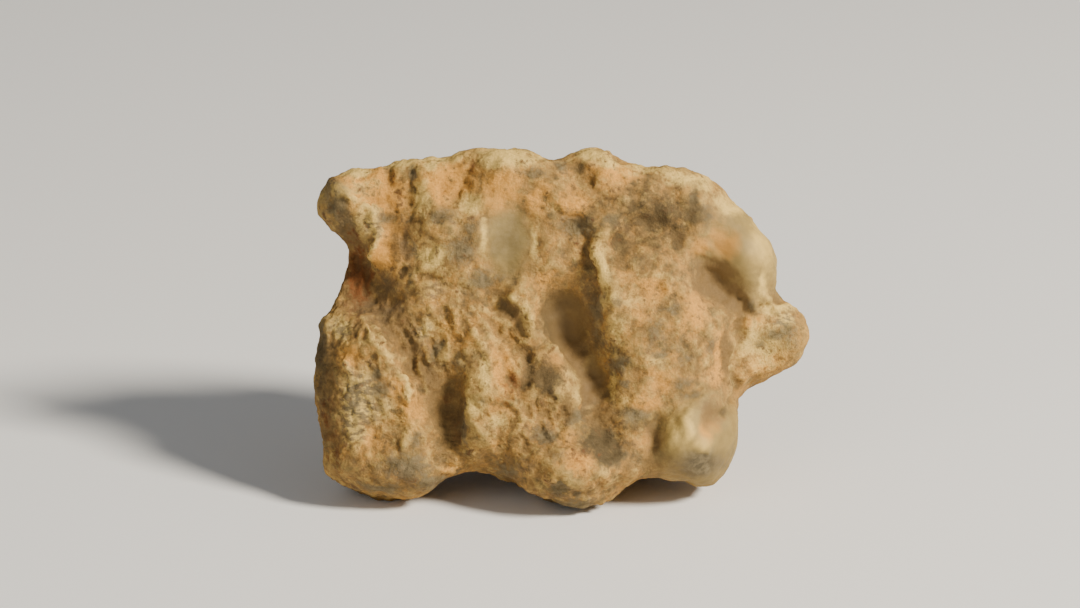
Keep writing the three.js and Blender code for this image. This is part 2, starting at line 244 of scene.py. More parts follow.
# Ridges, cracks, pits and patches stray from where they are put, and ridges and cracks vary in height
# and depth along their paths.
WANDER_SEED = 12
WANDER_MM = 0.32
LONG_WANDER = 800  # waves to a metre
SHORT_WANDER = 2100
SHORT_SHARE = 0.5
USUAL_HEIGHT = 0.85  # of the height or depth given
HEIGHT_VARIES = 0.9
HEIGHT_LIMITS = (0.2, 1.4)
noise.seed_set(WANDER_SEED)
wander = np.array([
    noise.noise_vector(Vector(place) * LONG_WANDER)
    + SHORT_SHARE * noise.noise_vector(Vector(place) * SHORT_WANDER)
    for place in places
])
x = x + WANDER_MM * wander[:, 0]
u = u + WANDER_MM * wander[:, 1]
uneven = np.clip(USUAL_HEIGHT + HEIGHT_VARIES * wander[:, 2], *HEIGHT_LIMITS)
raised = np.zeros(len(x))
for width, height, path in RIDGES_MM:
    raised = np.maximum(raised, height * uneven * np.exp(-((away_from(path, x, u) / width) ** 2)))
cut = np.zeros(len(x))
for width, depth, path in CRACKS_MM:
    cut = np.maximum(cut, depth * uneven * np.exp(-((away_from(path, x, u) / width) ** 2)))
for pit_x, pit_u, radius, depth in PITS_MM:
    cut += depth * np.exp(-(((x - pit_x) ** 2 + (u - pit_u) ** 2) / radius**2))

# The folds run down the face and a little to the right, and leave the deep cracks alone.
FOLD_TURN = (0.9, 0.44)  # from one fold to the next, across and up the face
FOLD_ACROSS_MM = 0.9
FOLD_ALONG_MM = 2.6
FOLD_HEIGHT_MM = 0.20
FOLD_DEPTH_MM = 0.12
FOLD_SHARPNESS = 5
FOLD_LAYERS = (3, 40)  # one layer of noise for raised folds, one for cut ones
FOLDED_X_MM = -4.6
FOLDED_U_MM = -2.4
FOLDED_HALF_WIDTH_MM = 8.5
FOLDED_HALF_HEIGHT_MM = 6.0
UNFOLDED_CUT_MM = 0.3
across = (FOLD_TURN[0] * x + FOLD_TURN[1] * u) / FOLD_ACROSS_MM
along = (FOLD_TURN[1] * x - FOLD_TURN[0] * u) / FOLD_ALONG_MM
folded = ((x - FOLDED_X_MM) / FOLDED_HALF_WIDTH_MM) ** 2 + ((u - FOLDED_U_MM) / FOLDED_HALF_HEIGHT_MM) ** 2
folded = np.exp(-(folded**2)) * (1 - np.clip(cut / UNFOLDED_CUT_MM, 0, 1))
folds = np.array([[noise.noise((a, b, layer)) for layer in FOLD_LAYERS] for a, b in zip(across, along)])
sharp = np.clip(1 - FOLD_SHARPNESS * np.abs(folds), 0, 1) * folded[:, None]
raised = np.maximum(raised, FOLD_HEIGHT_MM * sharp[:, 0])
cut = np.maximum(cut, FOLD_DEPTH_MM * sharp[:, 1])

# The floors of cracks are evened out, the more the deeper they are.
RIDGE_GAIN = 1.25  # times the heights given
CUT_EVENED = 2  # per millimetre of depth
CUT_ROUNDS = 3
relief = RIDGE_GAIN * raised - cut
places = places + outward * (relief * front * 0.001)[:, None]
steep = np.clip(CUT_EVENED * cut * front, 0, 1)[:, None]
places = places + steep * (evened(places, CUT_ROUNDS) - places)
stone.data.vertices.foreach_set("co", places.ravel())


# What the stone is made of shows in patches: smooth olive clasts, grey ones, peach crust, cream crests,
# dark, brown and red-brown stain and short cream dashes, with painted light laid among them: painted
# highlights in the cream patches, painted shade in the grey, dark and brown ones, and patches of painted
# shade only. Each patch is an ellipse on the face with a wandering edge, placed one by one. The back gets
# most of the same finishes by chance.
# (x, u, half width, half height, strength)
WAXY_MM = [
    (-2.6, 6.2, 1.5, 2.5, 1), (14.0, 5.5, 3.2, 3.6, 1), (11.1, -8.0, 3.5, 3.3, 1), (1.5, 0.4, 1.2, 1.9, 1),
    (3.2, -3.1, 0.7, 1.8, 0.8),
]
EVEN_MM = [
    (16.1, -0.5, 2.8, 2.5, 1), (-13.8, 9.3, 1.5, 1.0, 0.5), (3.8, -2.8, 0.7, 1.5, 0.7),
    (-6.6, -5.5, 0.8, 1.8, 0.6),
]
PEACH_MM = [
    (-11.4, 10.0, 1.5, 1.1, 1.2), (-6.6, 10.6, 1.4, 1.1, 1.2), (-10.8, 5.3, 0.8, 1.0, 1.2),
    (14.5, 0.5, 0.6, 0.3, 1), (12.4, 5.9, 0.8, 1.0, 0.9), (11.1, -6.9, 0.6, 0.8, 0.7),
    (-9.2, -5.0, 0.8, 0.8, 0.9), (1.7, -2.6, 0.3, 0.8, 0.8), (-11.8, 9.7, 2.2, 1.4, 1.2),
    (-10.7, 6.5, 1.0, 0.8, 0.9), (-11.0, 5.3, 1.1, 1.0, 1.2), (-6.8, 10.4, 1.8, 1.5, 1.2),
    (-3.0, 9.8, 1.4, 1.5, 0.8), (3.8, 10.0, 1.0, 0.8, 0.6), (-0.5, 9.1, 0.8, 1.0, 0.8),
    (2.1, 8.6, 1.0, 0.9, 0.9), (4.9, 10.9, 1.7, 0.7, 1), (12.2, 6.2, 1.0, 1.0, 0.7),
    (10.7, 5.8, 0.7, 0.6, 0.7), (-13.5, -1.7, 0.8, 0.8, 0.9), (-10.2, -4.0, 0.9, 1.1, 0.7),
    (-9.0, -5.4, 0.8, 1.0, 0.9), (-12.4, -7.3, 1.0, 1.0, 0.8), (-6.6, 0.0, 2.1, 1.1, 0.55),
    (-3.1, -2.5, 1.0, 1.7, 0.8), (-10.2, -9.9, 0.5, 0.5, 1), (-6.7, -9.5, 0.7, 0.4, 0.7),
    (2.4, -9.0, 1.0, 0.8, 1), (6.9, -7.6, 0.6, 0.7, 0.7), (6.6, -5.0, 1.4, 0.5, 0.8),
    (8.2, -3.3, 1.0, 0.8, 0.7), (12.1, -2.1, 0.6, 1.9, 0.9), (10.4, 1.3, 0.8, 1.5, 0.8),
    (7.3, 2.9, 1.5, 0.9, 0.7), (11.5, -6.4, 0.8, 0.9, 0.6), (14.6, 0.4, 0.8, 0.6, 0.9),
    (15.2, -2.1, 1.7, 0.9, 0.8), (-3.1, -5.2, 0.7, 0.6, 0.6), (-0.7, 1.4, 0.5, 1.0, 0.5),
    (1.0, -2.1, 1.0, 0.6, 0.8), (1.5, -7.6, 1.0, 0.8, 0.5), (6.6, 0.7, 0.6, 0.8, 0.5),
    (-0.3, 3.6, 1.0, 0.6, 0.5), (-7.3, 2.1, 1.1, 0.6, 0.5),
]
# Cream crust, and painted highlights along the top rim, on ridge tops and on both waxy lobes.
CREAM_AND_HIGHLIGHT_MM = [
    (15.1, 6.2, 1.0, 2.3, 0.6), (-13.3, 11.3, 1.1, 0.3, 0.9), (-10.3, 11.8, 1.7, 0.3, 0.9),
    (-7.3, 12.0, 1.7, 0.3, 0.9), (-2.8, 12.7, 2.1, 0.3, 0.9), (3.1, 13.0, 1.4, 0.3, 0.9),
    (7.3, 11.3, 2.1, 0.3, 0.8), (10.7, 10.6, 1.0, 0.3, 0.8), (13.5, 8.9, 1.0, 0.6, 0.7),
    (12.2, 9.0, 1.0, 0.7, 0.6), (16.7, 0.6, 0.4, 0.3, 0.8), (-13.3, 9.1, 0.7, 0.2, 0.9),
    (-12.2, 8.3, 0.6, 0.3, 0.9), (-7.9, 0.1, 0.6, 0.6, 0.7), (-13.7, 9.5, 1.1, 0.5, 0.8),
    (-12.6, 7.5, 0.8, 1.1, 0.6), (-7.9, 11.3, 0.6, 0.6, 0.8), (-8.5, 9.1, 0.6, 1.2, 0.8),
    (-7.8, 5.0, 1.0, 0.8, 1), (-5.2, 8.7, 1.0, 0.6, 0.8), (-4.2, 6.5, 0.2, 1.4, 0.8),
    (-0.8, 6.2, 0.2, 1.1, 0.8), (-2.8, 11.9, 1.9, 0.6, 1), (3.1, 12.2, 0.8, 0.5, 1),
    (4.4, 11.6, 0.8, 0.4, 0.8), (9.5, 10.5, 1.2, 0.4, 0.9), (11.0, 10.0, 0.6, 0.3, 0.7),
    (12.9, 8.6, 1.1, 0.6, 0.8), (14.9, 6.2, 0.6, 1.7, 0.6), (15.1, 3.2, 0.3, 1.2, 0.7),
    (4.0, 3.9, 0.3, 1.9, 0.9), (-7.9, 0.4, 0.6, 0.6, 0.7), (-7.0, -1.7, 0.3, 0.8, 0.6),
    (-4.2, -2.8, 0.4, 1.4, 0.75), (-4.8, -5.1, 0.7, 0.8, 0.7), (-3.3, -6.2, 0.7, 0.5, 0.6),
    (-14.3, 0.3, 0.7, 0.8, 0.6), (15.0, -1.0, 1.7, 1.5, 0.75), (-10.0, 10.6, 0.7, 0.6, 0.4),
    (-12.4, 10.2, 1.0, 0.4, 0.5), (16.4, 1.5, 1.2, 0.3, 1), (16.7, 0.4, 0.5, 0.5, 0.8),
    (-13.3, 11.0, 1.0, 0.3, 1), (-10.3, 11.5, 1.5, 0.3, 0.8), (-7.3, 11.8, 1.5, 0.3, 0.8),
    (-0.3, 11.9, 1.4, 0.2, 0.6), (7.3, 10.9, 2.1, 0.2, 0.6), (5.9, 2.1, 0.7, 0.4, 0.5),
    (7.7, -2.1, 0.7, 0.4, 0.5), (5.0, 0.0, 0.5, 1.0, 0.6), (4.6, -3.9, 0.4, 1.0, 0.7),
    (9.9, -6.8, 0.3, 1.0, 0.8), (9.1, -6.9, 0.8, 1.2, 0.55), (10.7, -7.7, 0.6, 0.4, 0.5),
    (13.1, -2.4, 0.3, 1.5, 0.7), (-5.2, 3.1, 0.8, 0.4, 0.5), (-1.5, 0.8, 0.4, 1.0, 0.8),
    (1.8, -2.5, 0.3, 0.8, 0.8), (0.8, -1.5, 0.6, 0.2, 0.7), (-11.1, -5.5, 0.7, 0.8, 0.5),
    (4.1, -9.7, 0.8, 0.4, 0.4), (8.1, 3.8, 1.1, 0.3, 0.5), (-13.3, -6.1, 0.5, 1.5, 0.6),
    (5.5, -4.8, 0.8, 0.4, 0.5),
]
# Grey clasts, and painted shade on the knob's left flank and on the left side.
GREY_AND_SHADE_MM = [
    (-2.6, 6.2, 1.4, 2.2, 0.42), (-14.4, 8.6, 0.8, 0.8, 0.9), (-13.8, 7.3, 0.5, 0.7, 0.8),
    (16.0, -0.4, 1.0, 0.3, 0.8), (16.9, -0.1, 0.6, 0.6, 0.6), (15.0, -0.8, 0.6, 0.3, 0.6),
    (10.7, -8.8, 1.2, 0.6, 0.7), (3.5, 1.4, 0.5, 1.1, 0.7), (3.7, -0.7, 0.4, 0.7, 0.5),
    (-15.1, 9.7, 0.6, 1.0, 0.6), (-14.5, 10.0, 0.6, 0.4, 0.5), (-9.2, 10.9, 0.3, 0.6, 0.8),
    (-11.1, 7.7, 0.6, 0.4, 0.7), (-7.3, 8.0, 1.0, 0.6, 0.8), (-7.3, 7.7, 0.3, 0.2, 1),
    (-5.7, 5.5, 1.0, 0.8, 0.9), (-5.2, 7.1, 0.7, 0.6, 0.6), (-4.5, 3.4, 1.0, 0.6, 0.8),
    (-0.6, 10.9, 0.7, 0.4, 0.6), (1.1, 11.4, 0.5, 0.4, 0.7), (2.1, 7.2, 1.0, 0.7, 0.8),
    (4.5, 7.5, 0.6, 0.5, 0.6), (8.7, 1.5, 0.7, 0.3, 0.6), (7.4, -0.1, 0.7, 0.9, 0.6),
    (9.3, -1.1, 0.6, 0.6, 0.5), (11.5, -1.1, 0.3, 0.6, 0.6), (5.1, 2.0, 0.4, 0.3, 0.6),
    (14.3, 1.7, 0.3, 0.4, 0.7), (3.5, 0.0, 0.4, 1.0, 0.6), (5.2, -2.3, 0.7, 0.6, 0.8),
    (9.6, -1.9, 0.6, 0.7, 0.5), (9.3, -3.6, 0.6, 0.6, 0.6), (10.2, -4.5, 0.7, 0.3, 0.6),
    (5.5, -3.7, 0.3, 0.2, 0.8), (6.3, -5.9, 0.8, 0.6, 0.8), (2.2, -5.9, 0.8, 0.6, 0.8),
    (3.8, -7.5, 1.0, 0.8, 1), (4.6, -8.6, 1.0, 0.6, 1), (1.0, -10.8, 0.5, 0.4, 1),
    (2.2, -11.3, 0.3, 0.3, 0.8), (1.9, -12.0, 1.7, 0.3, 0.9), (0.0, -3.2, 0.8, 0.8, 0.8),
    (0.0, -7.2, 0.9, 0.6, 0.7), (-2.6, -9.7, 0.8, 0.6, 0.7), (-5.6, -6.5, 0.3, 1.4, 1),
    (-11.4, -4.1, 0.6, 0.8, 0.7), (-11.8, -3.0, 0.5, 0.5, 0.7), (-13.0, -5.0, 0.6, 1.7, 0.5),
    (-7.5, -1.5, 0.4, 0.6, 0.8), (-6.0, -2.2, 0.3, 0.7, 0.5), (-9.7, -9.4, 1.4, 0.8, 0.8),
    (-9.1, -7.7, 0.5, 0.6, 0.7), (-7.9, -10.5, 0.8, 0.6, 0.9), (-11.4, -11.0, 1.7, 0.3, 0.9),
    (16.9, -0.7, 0.8, 0.7, 0.4), (-13.8, 9.5, 1.0, 0.7, 0.5), (-14.9, 9.0, 0.6, 0.7, 0.6),
    (10.8, -9.4, 1.4, 0.6, 0.7), (11.1, 7.9, 0.4, 0.8, 0.6), (10.4, 9.0, 0.4, 0.8, 0.9),
    (-15.5, -1.0, 0.5, 2.1, 0.8), (-15.4, -4.1, 0.3, 1.4, 0.7), (-3.1, 3.6, 0.6, 0.3, 0.5),
    (-9.0, 5.5, 0.3, 0.8, 0.4), (-12.4, 4.3, 0.3, 0.6, 0.5), (-4.5, -4.8, 0.4, 0.3, 0.6),
    (-14.2, 8.6, 0.6, 0.4, 0.5), (-13.3, 6.6, 0.4, 1.0, 0.5), (7.9, -1.7, 0.5, 0.3, 0.7),
    (13.2, -9.1, 0.4, 0.8, 0.4), (0.7, -8.6, 0.6, 0.4, 0.4),
]
# Dark spots, and painted shade in the pits, in the deep hollow and over the upper right.
DARK_SPOTS_AND_SHADE_MM = [
    (-13.1, 3.8, 0.6, 1.5, 0.7), (-14.7, 8.6, 0.3, 0.4, 0.5), (0.5, 1.3, 0.4, 1.0, 0.7),
    (11.1, 4.3, 0.3, 0.4, 0.4), (-9.4, 9.8, 0.3, 0.3, 0.45), (-9.1, 10.8, 0.3, 0.4, 0.3),
    (-7.3, 7.7, 0.3, 0.2, 0.9), (6.0, 8.6, 0.4, 0.6, 0.9), (7.1, 7.3, 0.6, 0.6, 1), (9.1, 6.4, 0.4, 0.8, 1),
    (7.9, 8.2, 0.6, 0.6, 0.8), (10.2, 8.0, 0.6, 0.6, 0.9), (9.6, 8.6, 0.5, 0.3, 0.7),
    (5.3, 5.8, 0.5, 0.9, 0.8), (3.8, 8.6, 0.4, 0.4, 0.6), (3.1, 7.9, 0.5, 0.6, 0.6),
    (6.6, 9.7, 1.1, 0.3, 0.5), (7.6, 5.9, 0.6, 0.3, 0.6), (7.6, 7.9, 2.6, 1.7, 0.62),
    (3.8, -7.6, 1.0, 0.8, 1.15), (4.6, -8.6, 0.8, 0.5, 1), (2.3, 11.1, 0.4, 0.4, 0.7),
    (-9.8, 4.0, 0.3, 0.3, 1), (-1.5, -3.7, 0.2, 0.4, 0.8), (7.1, 6.2, 1.0, 0.4, 0.6),
    (6.6, 8.2, 0.7, 0.4, 0.5), (-9.4, 8.6, 0.3, 0.2, 0.45), (-6.7, -5.2, 0.3, 0.3, 1),
    (-1.2, -2.9, 0.2, 0.9, 1), (4.2, -4.3, 0.3, 0.2, 1), (3.0, -5.5, 0.3, 0.2, 1),
    (12.4, -5.7, 0.2, 0.2, 1), (-0.1, -3.2, 1.0, 0.9, 1), (0.8, 0.6, 0.7, 1.7, 0.8),
    (-5.4, -8.6, 0.4, 0.4, 0.4), (5.9, -6.6, 0.6, 0.3, 0.5), (-15.5, -2.1, 0.4, 2.1, 0.5),
    (8.2, 7.1, 0.4, 0.6, 0.6), (4.6, 6.8, 0.3, 0.7, 0.5), (6.2, 4.7, 0.4, 0.4, 0.4),
    (10.5, 9.1, 0.3, 0.7, 0.7), (-6.0, -6.6, 0.3, 1.1, 0.6), (-7.2, -6.9, 0.3, 0.7, 0.5),
]
# Brown stain, and painted shade: in the deep hollow, the slot and the valleys, on the knob's shaded flank and
# on the left side.
BROWN_STAIN_AND_SHADE_MM = [
    (12.4, 5.8, 1.0, 0.9, 0.4), (-12.4, 2.9, 0.6, 0.8, 0.6), (3.0, 5.1, 0.3, 1.0, 0.8),
    (-13.3, 6.2, 0.6, 0.8, 0.8), (-13.3, 2.8, 0.6, 1.0, 1), (11.5, 3.5, 0.9, 0.8, 1),
    (12.5, 2.6, 1.2, 0.7, 1.1), (12.6, -1.8, 0.3, 1.8, 0.9), (11.5, -5.8, 0.8, 0.8, 0.7),
    (0.7, 1.0, 0.7, 1.4, 1.1), (0.9, -0.5, 0.8, 0.8, 1.1), (2.0, -1.9, 0.7, 0.8, 1.1),
    (3.0, -3.7, 0.6, 1.1, 1), (-9.7, -1.0, 0.6, 0.9, 0.8), (-10.4, -0.3, 0.7, 0.7, 0.7),
    (-9.2, -2.3, 0.6, 0.8, 0.6), (-7.8, -3.7, 0.6, 0.7, 0.8), (-2.8, 1.3, 0.6, 0.6, 0.6),
    (-11.0, 10.9, 0.2, 0.6, 0.6), (-10.1, 9.5, 0.3, 0.3, 0.6), (4.4, 9.1, 0.3, 0.3, 0.6),
    (-10.4, 5.9, 0.5, 1.1, 0.7), (-13.1, 0.2, 0.3, 0.6, 0.9), (-9.3, -2.1, 0.5, 1.0, 0.9),
    (-8.3, -2.5, 0.3, 1.0, 0.7), (-11.1, 0.3, 1.0, 1.0, 0.4), (-11.4, 2.6, 1.0, 1.1, 0.25),
    (-10.0, 0.6, 1.0, 0.7, 0.7), (-7.5, -4.7, 0.6, 1.4, 0.9), (-6.6, -6.1, 0.8, 1.9, 1),
    (1.5, -5.1, 0.4, 0.8, 0.9), (-2.6, 1.3, 0.6, 0.6, 0.9), (-1.8, 0.4, 0.5, 0.7, 0.8),
    (11.7, 3.7, 1.2, 1.0, 1.1), (13.1, 2.1, 0.8, 1.1, 1), (13.6, 0.6, 0.3, 0.7, 0.9),
    (7.5, -7.3, 0.3, 0.8, 0.8), (1.5, 0.4, 1.5, 2.1, 1), (3.4, -3.3, 0.7, 1.9, 0.45),
    (4.1, -5.7, 0.7, 0.8, 0.6), (2.6, 1.4, 0.6, 1.0, 0.5), (-5.2, -2.1, 0.3, 0.7, 0.6),
    (-7.9, -3.3, 0.4, 0.7, 0.7), (-12.8, 5.7, 0.5, 0.8, 0.7), (-12.0, 3.3, 0.5, 1.0, 0.4),
    (-3.1, 2.6, 0.7, 0.3, 0.7), (-0.3, -5.0, 0.7, 0.4, 0.5), (-8.3, 2.8, 0.6, 0.3, 0.4),
    (0.8, 2.1, 0.7, 0.7, 0.9), (3.6, -6.2, 0.6, 0.6, 0.8), (5.7, -9.7, 0.4, 0.6, 0.5),
    (-15.1, -3.4, 0.6, 2.8, 0.7), (-14.9, -6.9, 0.7, 1.8, 0.8), (-13.8, 6.8, 0.5, 1.2, 0.6),
    (-13.1, 5.2, 0.4, 0.8, 0.8), (3.5, 10.0, 0.6, 1.0, 0.5), (7.3, 4.7, 0.7, 0.4, 0.5),
    (12.1, -4.5, 0.6, 0.5, 0.4), (7.6, -9.1, 1.0, 0.8, 0.5), (-2.8, -10.4, 1.1, 0.4, 0.4),
    (-0.3, -11.0, 1.0, 0.3, 0.4), (-6.4, -8.6, 0.4, 0.4, 0.5), (-12.4, -9.7, 1.0, 0.4, 0.4),
    (-4.5, -8.6, 0.7, 0.6, 0.4), (1.0, 0.0, 0.8, 1.4, 0.8),
]
RUST_MM = [
    (-13.1, 3.8, 0.6, 1.8, 1), (-12.4, 3.3, 0.3, 1.1, 0.8), (-14.9, -6.6, 0.5, 1.8, 0.35),
    (-2.2, -3.5, 0.4, 0.6, 0.8), (-5.0, 11.3, 0.3, 0.7, 0.45), (-6.2, 9.3, 0.3, 0.4, 0.35),
    (-10.6, 10.5, 0.3, 0.6, 0.35), (-10.0, 9.3, 0.3, 0.4, 0.25), (2.8, 5.5, 0.3, 0.6, 0.25),
    (-2.7, -4.8, 0.6, 0.4, 0.4), (1.0, -1.5, 0.7, 0.2, 0.4), (-6.4, -7.6, 0.3, 0.7, 0.5),
    (-6.7, -4.8, 0.2, 0.7, 0.6), (2.4, -9.1, 0.6, 0.6, 0.35), (-14.4, -9.0, 0.6, 1.0, 0.4),
]
DASHED_MM = [
    (-12.9, -4.8, 1.2, 1.8, 1), (-13.3, -6.8, 0.8, 1.1, 0.9), (-14.2, 0.0, 0.6, 0.8, 0.7),
    (16.7, 0.6, 0.6, 0.5, 1), (-8.4, 0.0, 0.7, 0.6, 0.7), (-7.7, 2.6, 1.0, 0.6, 0.5),
    (-12.0, 7.2, 0.6, 1.0, 0.6),
]
# Painted shade: a dull brown-grey laid where the face falls into shade, and also on some walls that the lamp
# lights.
PAINTED_SHADE_MM = [
    (-10.6, 1.0, 1.9, 1.2, 0.9), (-9.2, -1.2, 0.9, 1.4, 1), (-8.1, -3.6, 0.8, 1.1, 1),
    (-12.6, 1.8, 1.2, 0.8, 0.9), (-13.8, 7.2, 0.8, 1.1, 0.9), (-9.6, 5.9, 0.6, 1.2, 0.8),
    (-11.1, 2.8, 1.0, 1.0, 0.8), (-2.6, 1.4, 0.7, 0.8, 1), (2.1, -2.2, 0.6, 1.0, 1),
    (3.0, -4.3, 0.6, 1.2, 1), (11.5, 3.5, 1.2, 1.1, 1), (12.8, 2.4, 1.0, 0.8, 1),
    (12.6, -1.8, 0.3, 1.9, 0.8), (7.6, 8.0, 2.8, 1.8, 0.6), (3.8, -7.9, 1.7, 1.0, 0.85),
    (2.1, -5.9, 0.9, 0.6, 0.7), (0.0, -3.3, 1.1, 1.1, 0.9), (10.7, -9.3, 1.9, 0.8, 0.8),
    (11.5, -5.7, 0.8, 0.8, 0.6), (-5.2, -2.1, 0.3, 0.8, 0.6), (-9.5, -9.7, 2.3, 1.2, 0.7),
    (-13.8, -9.9, 1.5, 1.0, 0.4), (1.0, -11.2, 2.8, 0.6, 0.5), (-0.3, -7.2, 1.2, 0.8, 0.45),
    (-2.3, -9.5, 1.9, 0.8, 0.5), (7.3, -7.6, 0.6, 1.4, 0.6), (3.1, 2.6, 0.6, 1.2, 0.6),
    (6.6, 4.7, 1.0, 0.5, 0.4), (-6.8, 2.1, 1.1, 0.4, 0.4), (-4.6, 1.4, 0.8, 0.3, 0.4),
    (-1.4, -2.8, 0.5, 1.1, 0.7), (-3.1, -1.4, 0.6, 0.7, 0.35), (-7.5, -2.2, 0.6, 0.8, 0.5),
    (1.5, -5.1, 0.6, 0.7, 0.6), (-13.1, 2.8, 0.7, 1.0, 1), (14.0, 2.1, 0.6, 0.8, 0.7),
    (-11.1, 7.5, 0.6, 0.6, 0.4), (1.0, 5.4, 1.0, 0.6, 0.3), (-5.9, -6.6, 0.4, 1.2, 0.6),
    (-10.6, 10.5, 0.6, 0.7, 0.4), (5.2, 6.2, 0.6, 0.8, 0.4),
]


EDGE_FALL = 0.69  # leaves half of a patch's strength at its edge
CHANCE_EDGE = (-0.15, 0.2)
# Ridge tops get cream and painted highlight and are kept clear of the painted shade, and cracks and pits get
# stain and painted shade.
CREAM_AND_HIGHLIGHT_ON_RIDGES = 1.8  # per millimetre of height
NO_PAINTED_SHADE_ON_RIDGES = 2.5
DARKER_IN_CUTS = 2.2  # per millimetre of depth


def patches(spots_mm):
    """How strongly each point of the stone is in a patch: fully in its middle, by half at its edge."""
    shown = np.zeros(len(x))
    for patch_x, patch_u, half_x, half_u, strength in spots_mm:
        out = ((x - patch_x) / half_x) ** 2 + ((u - patch_u) / half_u) ** 2
        shown = np.maximum(shown, strength * np.exp(-EDGE_FALL * out))
    return shown * in_view


def by_chance(strength, size_mm, start, rarity):
    """Patches of one size strewn over the back. The greater the rarity, the fewer and smaller they are."""
    scale = 1000 / size_mm
    cells = np.array([noise.noise(Vector(place) * scale + Vector((start, 0, 0))) for place in places])
    low, high = CHANCE_EDGE
    return strength * (smooth(rarity + low, rarity + high, cells) * (1 - in_view))


wax_by_chance = by_chance(strength=0.9, size_mm=6.0, start=5, rarity=0.46)
cream_and_highlight_patches = np.maximum(patches(CREAM_AND_HIGHLIGHT_MM), CREAM_AND_HIGHLIGHT_ON_RIDGES * raised * in_view)
# The cream finish also holds painted highlights, the grey, dark and brown ones also hold painted shade, the
# painted-shade finish is painted shade only, and the cut finish darkens cracks and pits as stain and painted
# shade.
finishes = {
    "waxy": patches(WAXY_MM) + wax_by_chance,
    "even": np.maximum(patches(WAXY_MM), patches(EVEN_MM)) + wax_by_chance,
    "grey_and_shade": patches(GREY_AND_SHADE_MM) + by_chance(strength=0.35, size_mm=1.7, start=11, rarity=0.2),
    "dark_and_shade": patches(DARK_SPOTS_AND_SHADE_MM) + by_chance(strength=0.4, size_mm=1.3, start=23, rarity=0.35),
    "brown_and_shade": patches(BROWN_STAIN_AND_SHADE_MM) + by_chance(strength=0.35, size_mm=2.6, start=91, rarity=0.3),
    "peach": patches(PEACH_MM) + by_chance(strength=0.5, size_mm=2.2, start=37, rarity=0.05),
    "cream_and_highlight": cream_and_highlight_patches + by_chance(strength=0.5, size_mm=1.4, start=53, rarity=0.15),
    "rust": patches(RUST_MM) + by_chance(strength=0.25, size_mm=1.6, start=71, rarity=0.4),
    "painted_shade": np.clip(patches(PAINTED_SHADE_MM) - NO_PAINTED_SHADE_ON_RIDGES * raised * in_view, 0, 1),
    "dashed": patches(DASHED_MM) + by_chance(strength=0.4, size_mm=4.5, start=119, rarity=0.3),
    "cut": np.clip(DARKER_IN_CUTS * cut * front, 0, 1),
}


def keep_on(mesh, name, values):
    """Keeps one value for each point on the mesh, for the crust and the material to read."""
    layer = mesh.attributes.get(name) or mesh.attributes.new(name, "FLOAT", "POINT")
    layer.data.foreach_set("value", np.asarray(values, np.float32))


for name, values in finishes.items():
    keep_on(stone.data, name, values)


# Wind and lime have left the whole crust crumbly: lumps, knobs and crumbs stand out of it, and furrows and
# little pits are worn into it. The waxy clasts are nearly smooth. A rule of Geometry Nodes moves each point
# in or out by the sum of these.
rind = bpy.data.materials.new("weathered crust")
crust_rule = bpy.data.node_groups.new("crumbly crust", "GeometryNodeTree")
crust_rule.interface.new_socket("Geometry", in_out="OUTPUT", socket_type="NodeSocketGeometry")
crust_rule.interface.new_socket("Geometry", in_out="INPUT", socket_type="NodeSocketGeometry")
CRUST_SIZES = {
    "Lump size": 0.0026,
    "Lump height": 0.0010,
    "Knob size": 0.0019,
    "Knob height": 0.0005,
    "Crumb size": 0.0009,
    "Crumb height": 0.00024,
    "Furrow spacing": 0.0021,
    "Furrow depth": 0.00010,
    "Pit spacing": 0.0012,
    "Pit depth": 0.00016,
}
CRUMBS_EVENED = 0.92  # share of the crumbs, furrows, pits and knobs that an even patch lacks
LUMPS_EVENED = 0.7
CRUST_DISTORTION = 0.4
FURROW_SHARPNESS = 14.0
PIT_SHARPNESS = 3.0
PIT_CHOICE = 3.0  # a cell has a pit where this times its number, from 0 to 1, is over PITS_LEFT_OUT
PITS_LEFT_OUT = 1.9
WARP_WAVES = 900.0  # to a metre
WARP_REACH = 0.0012
crust_sockets = {}
for name, value in CRUST_SIZES.items():
    socket = crust_rule.interface.new_socket(name, in_out="INPUT", socket_type="NodeSocketFloat")
    socket.default_value = value
    crust_sockets[name] = socket.identifier


def add_node(tree, kind, settings=None, inputs=None):
    """A node of a tree, with its settings made and its inputs joined to sockets or set to values."""
    node = tree.nodes.new(kind)
    for key, value in (settings or {}).items():
        setattr(node, key, value)
    for key, value in (inputs or {}).items():
        if isinstance(value, bpy.types.NodeSocket):
            tree.links.new(value, node.inputs[key])
        else:
            node.inputs[key].default_value = value
    return node


def sums(tree, operation, first, second=0.0, third=0.0, clamped=False):
    """One step of arithmetic between sockets or numbers."""
    settings = {"operation": operation, "use_clamp": clamped}
    return add_node(tree, "ShaderNodeMath", settings, {0: first, 1: second, 2: third}).outputs[0]


group_in = crust_rule.nodes.new("NodeGroupInput")
group_out = crust_rule.nodes.new("NodeGroupOutput")


def crust_noise(size, detail, roughness=0.6):
    """Noise from -0.5 to 0.5, with humps about as wide as the size."""
    scale = sums(crust_rule, "DIVIDE", 1.0, size)
    inputs = {"Scale": scale, "Detail": detail, "Roughness": roughness, "Distortion": CRUST_DISTORTION}
    made = add_node(crust_rule, "ShaderNodeTexNoise", None, inputs)
    return sums(crust_rule, "SUBTRACT", made.outputs["Fac"], 0.5)


def crust_step(operation, first, second=0.0, third=0.0, clamped=False):
    """One step of arithmetic in the rule of the crust."""
    return sums(crust_rule, operation, first, second, third, clamped)


def crust_move(operation, inputs):
    """One step of arithmetic between directions in the rule of the crust."""
    return add_node(crust_rule, "ShaderNodeVectorMath", {"operation": operation}, inputs).outputs["Vector"]


